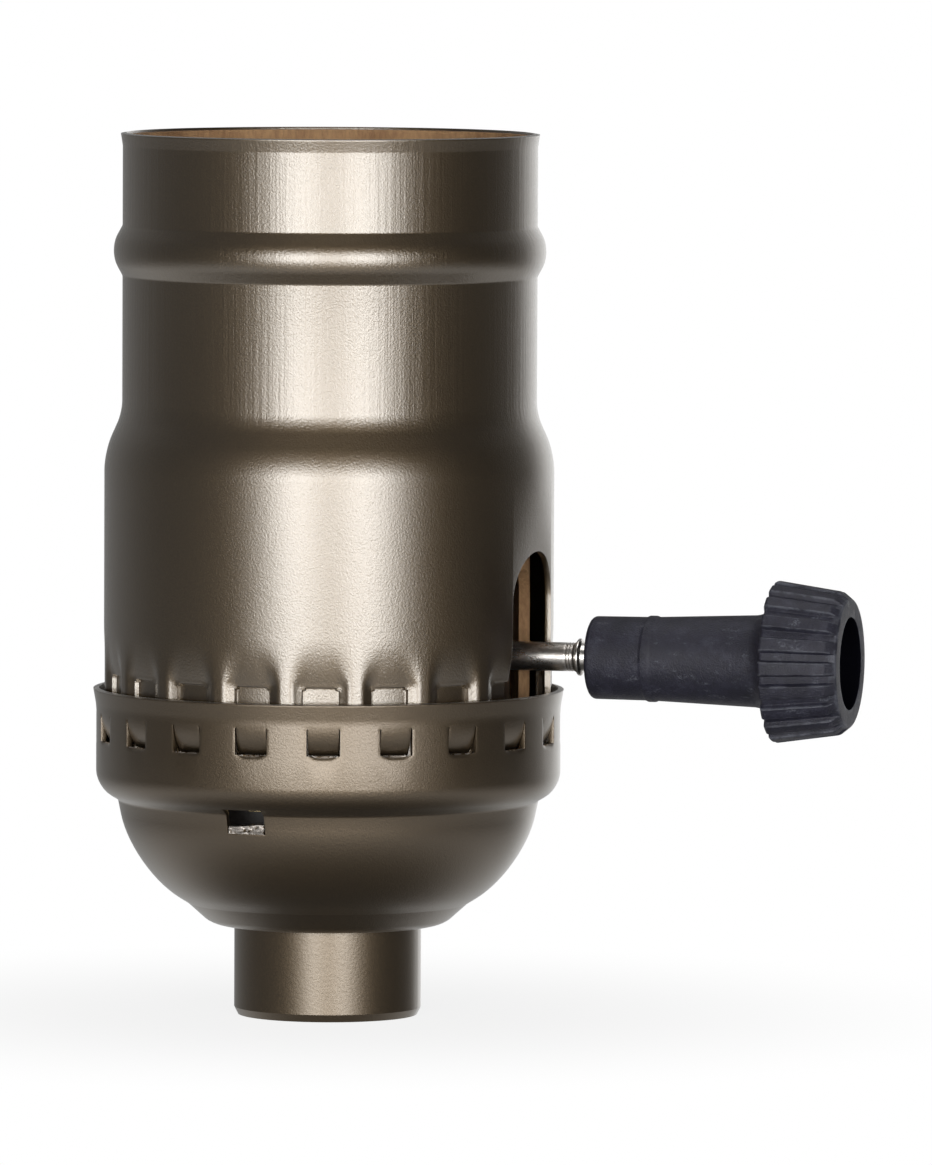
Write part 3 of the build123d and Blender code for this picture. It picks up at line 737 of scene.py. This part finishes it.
def lip_weight(vertex):
    """How far the window's lower lip is pressed in: most at the top of its middle."""
    up_lip = (vertex.co.z - sill_z) / lip_height + 1
    if vertex.select or not 0.0 < up_lip < 1.0 + near / lip_height:
        return 0.0
    middle = 1 - smooth_step(abs(turned(vertex.co)), lip_middle_share * window_half, window_half)
    return middle * up_lip ** 2


press(cap, tab_weight, tab_push)
press(cap, lip_weight, lip_press)
copies_round(cap, snap_count)
cap.rotation_euler = (0, 0, math.radians(window_turn))
settle(cap)

rest_turn = math.radians(-97.4)
rest_half_width = 1.6 * mm
rest_z = 15.6 * mm
rest_height = 1.95 * mm
rest_radius = 16.12 * mm
rest_tab_height = 0.62 * mm
rest_tab_gap = 0.2 * mm
rest_tab_lean = 0.12 * mm
rest_tab_cuts = 8
rest_tab_steps = (-0.6 * mm, 0.0, 0.6 * mm)
rest_tab_step_height = 0.07 * mm
rest_tab_edge = 0.08 * mm
tear = 0.022 * mm
tear_seed = 5
tear_grain = 0.25 * mm
tear_bump = 0.045 * mm
rest_cutter_radius = 16.5 * mm
rest_cutter_length = 6 * mm
bpy.ops.object.select_all(action="DESELECT")
bpy.ops.mesh.primitive_cube_add(
    size=1.0, location=(rest_cutter_radius, 0, rest_z + rest_height / 2))
rest_cutter = bpy.context.object
rest_cutter.scale = (rest_cutter_length, 2 * rest_half_width, rest_height)
settle(rest_cutter)
rest_cutter.rotation_euler = (0, 0, rest_turn)
settle(rest_cutter)


def rest_waste(place):
    """Faces inside the rest's opening, and what is left of its cutter."""
    aside = turned(place) - rest_turn
    side = abs(across(place) * math.sin(aside))
    in_width = math.cos(aside) > 0 and side < rest_half_width + near
    return in_width and rest_z - near < place.z < rest_z + rest_height + near


cut_opening(cap, rest_cutter, rest_waste)
thicken(cap, cap_sheet)
round_edges(cap, edge_round)

bpy.ops.object.select_all(action="DESELECT")
bpy.ops.mesh.primitive_cube_add(size=1.0, location=(rest_radius, 0, rest_z + rest_tab_height / 2))
rest_tab = bpy.context.object
rest_tab.name = "rest_tab"
rest_tab.scale = (cap_sheet, 2 * rest_half_width - rest_tab_gap, rest_tab_height)
settle(rest_tab)
bpy.ops.object.mode_set(mode="EDIT")
bpy.ops.mesh.select_all(action="SELECT")
bpy.ops.mesh.subdivide(number_cuts=rest_tab_cuts)
rest_tab_top_z = rest_z + rest_tab_height
choose(lambda place: place.z > rest_tab_top_z - near)
bpy.ops.transform.translate(value=(-rest_tab_lean, 0, 0))
for right_of in rest_tab_steps:
    choose(lambda place: place.z > rest_tab_top_z - rest_tab_edge and place.y > right_of)
    bpy.ops.transform.translate(value=(0, 0, rest_tab_step_height))
bpy.ops.mesh.select_all(action="SELECT")
bpy.ops.transform.vertex_random(offset=tear, uniform=1.0, normal=0.0, seed=tear_seed)
bpy.ops.object.mode_set(mode="OBJECT")
rest_tab.rotation_euler = (0, 0, rest_turn)
settle(rest_tab)

cap.data.materials.append(lacquer("cap_lacquer", cap_gloss, 0.0))
cap.data.materials.append(bare_edge("cap_cut_steel", 0.47))
for face in cap.data.polygons:
    inside_collar = collar_radius - across(face.center)
    on_lip = lip_bare_depth < inside_collar < cap_sheet - lip_inner_depth
    if face.center.z < steel_edges_low_z and face.material_index == 1:
        face.material_index = 0
    elif abs(face.center.z - sill_z) < lip_bare_height and on_lip:
        face.material_index = 1
rest_tab.data.materials.append(bare_edge("torn_steel", 0.40, tear_grain, tear_bump))
add_piece(cap, "holder", "bronze_paint", "cap")
add_piece(rest_tab, "holder", "bronze_paint")


# The hub: turned steel in the same lacquer, staked through the cap, with a
# pipe thread cut in its bore.
thread_pitch = 0.941 * mm
thread_bore = 4.75 * mm
thread_bump = 12
bore_bare_share = 0.7
bore_polish = 0.2
hub_speckle_size = 0.22 * mm
hub_speckle_share = 0.5


def dress(node, material):
    """Give a node of the frame its material."""
    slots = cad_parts[node].data.materials
    slots.clear()
    slots.append(material)


hub_lacquer, hub = new_finish("hub_lacquer")
hub_point = place_on(hub)
hub_x, hub_y, hub_z = (along(hub, hub_point, axis) for axis in "XYZ")
hub_turns = hub_y.math("ARCTAN2", hub_x) / (2 * math.pi) + hub_z / thread_pitch
hub_thread = hub_turns.math("PINGPONG", 0.5) * 2
in_bore = (hub_x * hub_x + hub_y * hub_y) ** 0.5 < thread_bore
hub_speckle = noise(hub, hub_point, hub_speckle_size, 2.0, 0.6)
hub_bronze = mix_colour(hub, hub_speckle, bronze_deep, bronze)
lacquered(
    hub, cap_gloss, mix_colour(hub, in_bore * bore_bare_share, hub_bronze, bare_steel),
    bronze_roughness - in_bore * bore_polish + (hub_speckle - 0.5) * speckle_swing,
    bump(hub, in_bore * hub_thread * thread_bump + hub_speckle * hub_speckle_share, lacquer_bump))
dress("threaded_hub", hub_lacquer)


# The sleeves that keep the shells apart from the live parts: vulcanised fibre
# sheet, rolled up and pushed in, with a fluffy cut edge.
fibre_tan = (0.66, 0.40, 0.20)
fibre_brown = (0.36, 0.19, 0.09)
fibre_cloud_size = 4 * mm
fibre_grain_size = 0.3 * mm
fibre_grain_length = 0.3
fibre_roughness = 0.75
fibre_swing = 0.3
fibre_bump = 0.08 * mm
fibre, fibre_finish = new_finish("fibre")
fibre_point = place_on(fibre_finish)
fibre_cloud = noise(fibre_finish, fibre_point, fibre_cloud_size, 4.0, 0.6)
fibre_strands = stretched(fibre_finish, fibre_point, (1.0, 1.0, fibre_grain_length))
fibre_grain = noise(fibre_finish, fibre_strands, fibre_grain_size, 4.0, 0.7)
fibre_tone = ramp_up(fibre_finish, fibre_cloud * 0.5 + fibre_grain * 0.5, 0.3, 0.7)
surface(fibre_finish, {
    "Base Color": mix_colour(fibre_finish, fibre_tone, fibre_brown, fibre_tan),
    "Roughness": fibre_roughness + (fibre_grain - 0.5) * fibre_swing,
    "Normal": bump(fibre_finish, fibre_grain, fibre_bump, 0.7),
})
dress("shell_liner", fibre)
dress("cap_liner", fibre)


# The two insulators and the rotor: compression-moulded phenolic, nearly black. The
# insulators are riveted together, and the rotor turns in the cavity between them.
phenolic_dark = (0.018, 0.015, 0.013)
phenolic_pale = (0.045, 0.036, 0.03)
phenolic_cloud_size = 1.2 * mm
phenolic_roughness = 0.42
phenolic_swing = 0.25
phenolic_bump = 0.02 * mm
phenolic, phenolic_finish = new_finish("phenolic")
phenolic_point = place_on(phenolic_finish)
phenolic_cloud = noise(phenolic_finish, phenolic_point, phenolic_cloud_size, 4.0, 0.6)
surface(phenolic_finish, {
    "Base Color": mix_colour(phenolic_finish, phenolic_cloud, phenolic_dark, phenolic_pale),
    "Roughness": phenolic_roughness + (phenolic_cloud - 0.5) * phenolic_swing,
    "Normal": bump(phenolic_finish, phenolic_cloud, phenolic_bump, 0.4),
})
for node in ("upper_body", "lower_body", "rotor"):
    dress(node, phenolic)


# The contacts, rivets and terminals: stamped brass with silver tips and one
# plated screw, and zinc-plated steel for the detent spring and the body rivets.
tarnish_size = 2.5 * mm
tarnish_swing = 0.12
grain_swing = 0.08
grain_bump = 0.01 * mm


def metal(name, bright, dull, roughness, grain_size):
    """Bare or plated metal with a faint tarnish."""
    material, finish = new_finish(name)
    point = place_on(finish)
    tarnish = noise(finish, point, tarnish_size, 4.0, 0.6)
    grain = noise(finish, point, grain_size, 3.0, 0.6)
    surface(finish, {
        "Base Color": mix_colour(finish, ramp_up(finish, tarnish, 0.35, 0.75), bright, dull),
        "Metallic": 1.0,
        "Roughness": roughness + (tarnish - 0.5) * tarnish_swing + (grain - 0.5) * grain_swing,
        "Normal": bump(finish, grain, grain_bump, 0.5),
    })
    return material


brass = metal("brass", (0.78, 0.60, 0.30), (0.55, 0.40, 0.20), 0.28, 0.3 * mm)
silver = metal("silver", (0.85, 0.84, 0.80), (0.6, 0.58, 0.54), 0.25, 0.3 * mm)
zinc = metal("zinc", (0.55, 0.55, 0.54), (0.4, 0.4, 0.4), 0.38, 0.25 * mm)
for node in (
        "centre_contact", "centre_rivet", "fixed_contact", "contact_blade", "blade_rivet",
        "line_plate", "line_screw"):
    dress(node, brass)
for node in ("contact_tips", "neutral_screw"):
    dress(node, silver)
for node in ("detent_spring", "body_rivets"):
    dress(node, zinc)


# The screw shell: aluminium sheet rolled to the lamp's right-handed thread, with a
# plain ring at its mouth and a flat floor that sits on the upper insulator. The
# strap to its terminal is of the same sheet.
screw_pitch = 3.629 * mm
screw_line = [(13.69, 65.45), (13.69, 40.32), (5.10, 40.32)]
screw_swing = 0.84 * mm
screw_plain_share = 0.5
screw_low_z = 41.2 * mm
screw_high_z = 63.4 * mm
screw_run_out = 1.4 * mm
screw_wall_radius = 13 * mm
screw_sheet = 0.38 * mm
screw_columns = 96
screw_rows = 84
aluminium = metal("aluminium", (0.80, 0.79, 0.76), (0.60, 0.60, 0.57), 0.30, 0.3 * mm)


def helix(place, pitch):
    """1 on the roots of a right-handed thread, 0 on its crests, and round between."""
    turns = place.z / pitch - turned(place) / (2 * math.pi)
    return 0.5 + 0.5 * math.cos(2 * math.pi * turns)


def rolled_thread(vertex):
    """How far the wall is rolled in: half way at its plain ends."""
    height = vertex.co.z
    if across(vertex.co) <= screw_wall_radius:
        return 0.0
    if height < screw_low_z - screw_run_out:
        return screw_plain_share
    in_thread = smooth_step(height, screw_low_z, screw_low_z + screw_run_out)
    in_thread *= 1 - smooth_step(height, screw_high_z - screw_run_out, screw_high_z)
    return screw_plain_share + (helix(vertex.co, screw_pitch) - 0.5) * in_thread


screw_shell = spun_sector("rolled_screw_shell", screw_line, [0.8], [4], screw_columns, 1)
for row in range(screw_rows):
    cut_row(screw_low_z + (screw_high_z - screw_low_z) * row / (screw_rows - 1))
press(screw_shell, rolled_thread, screw_swing)
thicken(screw_shell, screw_sheet, 0)
round_edges(screw_shell, edge_round)
screw_shell.data.materials.append(aluminium)
add_piece(screw_shell, "holder", "screw_metal", "screw_shell")
dress("neutral_strap", aluminium)


# The switch stem: turned steel, nickel plated, with fine tool rings and a rolled
# flange in front of the knob, and a thread on which the knob is screwed.
axis_z = 28.9 * mm
stem_line = [(1.15, -4.0), (1.14, 19.4)]
for ring_at in (19.62, 19.86, 20.10):
    stem_line += [(1.14, ring_at), (1.08, ring_at + 0.07), (1.14, ring_at + 0.14)]
stem_line += [
    (1.18, 20.34), (1.32, 20.50), (1.47, 20.56), (1.47, 20.74), (1.08, 20.82), (1.08, 21.50),
    (0.97, 21.62), (0.97, 28.2)]
stem_bends = [0.5] + [0.05] * 9 + [0.2, 0.2, 0.05, 0.06, 0.05, 0.05, 0.05]
stem_columns = 48
stem_thread_pitch = 0.7 * mm
stem_thread_depth = 0.14 * mm
stem_thread_start = 21.9 * mm
stem_rows = 60
stem_row_step = 0.1 * mm
nickel_bright = (0.86, 0.83, 0.79)
nickel_dull = (0.48, 0.44, 0.40)
nickel_roughness = 0.30
plate_cloud_size = 0.8 * mm
plate_grain_size = 0.12 * mm
plate_swing = 0.25
plate_bump = 0.02 * mm
stem_edge_round = 0.02 * mm
stem_edge_angle = 50.0


def close_ends(piece):
    """Fill the open ends of a turned solid and point its faces outwards."""
    bpy.context.view_layer.objects.active = piece
    bpy.ops.object.mode_set(mode="EDIT")
    bpy.ops.mesh.select_mode(type="EDGE")
    bpy.ops.mesh.select_all(action="DESELECT")
    shape = bmesh.from_edit_mesh(piece.data)
    for edge in shape.edges:
        edge.select = edge.is_boundary
    bmesh.update_edit_mesh(piece.data)
    bpy.ops.mesh.edge_face_add()
    bpy.ops.mesh.select_all(action="SELECT")
    bpy.ops.mesh.normals_make_consistent(inside=False)
    bpy.ops.object.mode_set(mode="OBJECT")


def lay_on_stem(piece, start, turn=0.0):
    """Turn an upright piece on its axis and lay it along the stem from a start."""
    piece.rotation_euler = (0, 0, turn)
    settle(piece)
    piece.rotation_euler = (0, math.pi / 2, 0)
    piece.location = (start, 0, axis_z)
    settle(piece)


def stem_thread(vertex):
    """How deep the thread is cut at a vertex of the stem."""
    if vertex.co.z < stem_thread_start - near:
        return 0.0
    return helix(vertex.co, stem_thread_pitch)


stem = spun_sector("plated_stem", stem_line, stem_bends, [2] * len(stem_bends), stem_columns, 1)
for row in range(stem_rows):
    cut_row(stem_thread_start + row * stem_row_step)
press(stem, stem_thread, stem_thread_depth)
close_ends(stem)
lay_on_stem(stem, 0.0)
round_edges(stem, stem_edge_round, stem_edge_angle, 1)

nickel, plate = new_finish("nickel")
plate_point = place_on(plate)
plate_streaks = stretched(plate, plate_point, (0.35, 1.0, 1.0))
plate_cloud = noise(plate, plate_streaks, plate_cloud_size, 4.0, 0.65)
plate_grain = noise(plate, plate_point, plate_grain_size, 3.0, 0.6)
plate_tone = ramp_up(plate, plate_cloud, 0.42, 0.62)
surface(plate, {
    "Base Color": mix_colour(plate, plate_tone, nickel_bright, nickel_dull),
    "Metallic": 1.0,
    "Roughness": (
        nickel_roughness + (plate_cloud - 0.5) * plate_swing + (plate_grain - 0.5) * grain_swing),
    "Normal": bump(plate, plate_grain * 0.5 + plate_cloud * 0.5, plate_bump, 0.6),
})
stem.data.materials.append(nickel)
add_piece(stem, "switch", "nickel", "stem")


# The knob: one moulding of blue-black plastic, a long sleeve and a ribbed head with
# a deep mouth in its end. Its high places are scuffed, its rib and front edges are
# lightened by wear and a painted highlight, the inside of its mouth and bore is
# painted in shade, and it screws on the stem.
knob_start = 21.65 * mm
head_back = (6.42, 14.85)
head_front = (5.66, 20.1)
knob_line = [
    (0.99, 7.2), (0.99, 0.0), (3.27, 0.0), (3.30, 4.48), (3.41, 4.68), (3.41, 5.20), (3.32, 5.42),
    (3.69, 14.85), head_back, head_front, (5.02, 20.9), (3.66, 20.9), (3.52, 20.62), (2.75, 15.4),
    (2.3, 9.7)]
knob_bends = [0.05, 0.42, 0.25, 0.2, 0.2, 0.25, 1.6, 0.28, 0.4, 0.25, 0.08, 0.1, 2.0]
knob_steps = [1, 5, 2, 2, 2, 2, 7, 4, 3, 3, 2, 2, 3]
rib_count = 20
rib_columns = 24
rib_turn = math.radians(10.0)
groove_top_half = math.radians(4.5)
groove_floor_half = math.radians(3.0)
groove_depth = 0.42 * mm
groove_start = 14.8 * mm
groove_floor_limit = 5 * mm
groove_open_share = 0.2
groove_root_radius = 5.45 * mm
groove_open_radius = 6.05 * mm
groove_aim_radius = 4.0 * mm
rib_top_radius = 5.35 * mm
# Widths of the lighter lines at the rib and front edges: wear and a painted highlight.
rib_mark_near = 0.004
rib_mark_far = 0.014
front_mark_near = 0.05 * mm
front_mark_far = 0.22 * mm
knob_mouth_radius = 3.75 * mm
knob_mouth_edge = 0.1 * mm
knob_mouth_start = 36.7 * mm
knob_front_radius = 5.05 * mm
knob_front_start = 20.3 * mm
knob_bore_radius = 2.95 * mm
knob_dark = (0.012, 0.012, 0.021)
knob_pale = (0.019, 0.018, 0.034)
# The pale scuff colour, which also paints the highlight on the edges.
knob_scuff_and_sheen = (0.17, 0.18, 0.21)
# Near black for the inside of the mouth and bore: painted shade.
painted_mouth_shade = (0.003, 0.003, 0.005, 1.0)
knob_cloud_size = 1.3 * mm
knob_grain_size = 0.14 * mm
knob_patch_size = 0.9 * mm
knob_patch_shortness = 0.5
scuff_share = 0.5
haze_share = 0.12
edge_sheen_wear_share = 0.4
knob_roughness = 0.52
knob_swing = 0.2
scuff_polish = 0.12
knob_bump = 0.14 * mm
knob_edge_round = 0.04 * mm
knob_edge_angle = 35.0


def rib_groove(vertex):
    """How deep the groove between two ribs is at a vertex, in metres."""
    place = vertex.co
    if place.z < groove_start or across(place) < groove_floor_limit:
        return 0.0
    side = (groove_top_half - abs(turned(place))) / (groove_top_half - groove_floor_half)
    side = min(max(side, 0.0), 1.0)
    (back_radius, back_at), (front_radius, front_at) = head_back, head_front
    share = (place.z / mm - back_at) / (front_at - back_at)
    floor_radius = (back_radius + (front_radius - back_radius) * share) * mm - groove_depth
    if share > groove_open_share:
        return side * min(max(across(place) - floor_radius, 0.0), groove_depth)
    opened = (across(place) - groove_root_radius) / (groove_open_radius - groove_root_radius)
    return side * min(max(opened, 0.0), 1.0) * groove_depth


def rib_weight(vertex):
    """The groove's depth as a share of the way to the aimed radius."""
    return rib_groove(vertex) / max(across(vertex.co) - groove_aim_radius, mm)


knob = spun_sector("turn_knob", knob_line, knob_bends, knob_steps, rib_columns, rib_count)
bpy.ops.object.mode_set(mode="OBJECT")
grooves = knob.vertex_groups.new(name="grooves")
for vertex in knob.data.vertices:
    grooves.add([vertex.index], rib_weight(vertex), "REPLACE")
modify(
    knob, "CAST", cast_type="CYLINDER", vertex_group="grooves", factor=1.0, radius=0.0,
    size=groove_aim_radius, use_radius_as_size=False, use_z=False)
knob.vertex_groups.clear()
copies_round(knob, rib_count)
close_ends(knob)
lay_on_stem(knob, knob_start, rib_turn)
round_edges(knob, knob_edge_round, knob_edge_angle)

knob_plastic, moulding = new_finish("knob_plastic")
knob_point = place_on(moulding)
knob_x, knob_y, knob_z = (along(moulding, knob_point, axis) for axis in "XYZ")
knob_cloud = noise(moulding, knob_point, knob_cloud_size, 4.0, 0.65)
knob_grain = noise(moulding, knob_point, knob_grain_size, 3.0, 0.6)
lengthwise = stretched(moulding, knob_point, (knob_patch_shortness, 1.0, 1.0))
knob_patch = noise(moulding, lengthwise, knob_patch_size, 3.0, 0.6)
knob_up = knob_z - axis_z
knob_radius = (knob_y * knob_y + knob_up * knob_up) ** 0.5
knob_angle = knob_y.math("ARCTAN2", 0.0 - knob_up)
# Lighter lines at the rib and front edges: partly wear, partly a painted edge highlight.
rib_place = (knob_angle - rib_turn).math("PINGPONG", math.pi / rib_count)
off_rib_edge = (rib_place - groove_top_half).math("ABSOLUTE")
rib_edge = 1 - ramp_up(moulding, off_rib_edge, rib_mark_near, rib_mark_far)
on_rib_top = (knob_radius > rib_top_radius) * (knob_x > knob_start + groove_start)
scuff = ramp_up(moulding, knob_patch, 0.58, 0.72) * ramp_up(moulding, knob_grain, 0.42, 0.58)
haze = ramp_up(moulding, knob_cloud * 0.7 + knob_grain * 0.3, 0.48, 0.70)
front_edge = 0.0
for edge_radius in (knob_mouth_radius, knob_front_radius):
    off_edge = (knob_radius - edge_radius).math("ABSOLUTE")
    front_edge = front_edge + (1 - ramp_up(moulding, off_edge, front_mark_near, front_mark_far))
edge_wear_and_sheen = rib_edge * on_rib_top + front_edge * (knob_x > knob_start + knob_front_start)
edge_wear_and_sheen = edge_wear_and_sheen * ramp_up(moulding, knob_cloud, 0.36, 0.60)
# The mouth and the bore are painted in near-black shade, without gloss.
within_mouth = knob_radius < knob_mouth_radius - knob_mouth_edge
in_wide_mouth = within_mouth * (knob_x > knob_mouth_start)
in_mouth = in_wide_mouth.math("MAXIMUM", knob_radius < knob_bore_radius)
knob_tone = ramp_up(moulding, knob_cloud * 0.6 + knob_grain * 0.4, 0.35, 0.65)
knob_colour = mix_colour(moulding, knob_tone, knob_dark, knob_pale)
# Scuffs, haze, and the edge lines of wear and painted highlight, as shares of the pale colour.
knob_wear_and_sheen = scuff * scuff_share + haze * haze_share + edge_wear_and_sheen * edge_sheen_wear_share * (1 - scuff)
outer_face = moulding.node("ShaderNodeBsdfPrincipled", sockets={
    "Base Color": mix_colour(moulding, knob_wear_and_sheen, knob_colour, knob_scuff_and_sheen),
    "Roughness": knob_roughness + (knob_grain - 0.5) * knob_swing - scuff * scuff_polish,
    "Normal": bump(moulding, knob_grain * 0.5 + knob_cloud * 0.5, knob_bump, 0.9),
})
# The painted shade inside the mouth and bore.
mouth_shade_face = moulding.node("ShaderNodeBsdfDiffuse", sockets={"Color": painted_mouth_shade})
knob_faces = moulding.node(
    "ShaderNodeMixShader", sockets={0: in_mouth, 1: outer_face, 2: mouth_shade_face})
moulding.node("ShaderNodeOutputMaterial", sockets={"Surface": knob_faces})
knob.data.materials.append(knob_plastic)
add_piece(knob, "switch", "knob_plastic", "knob")
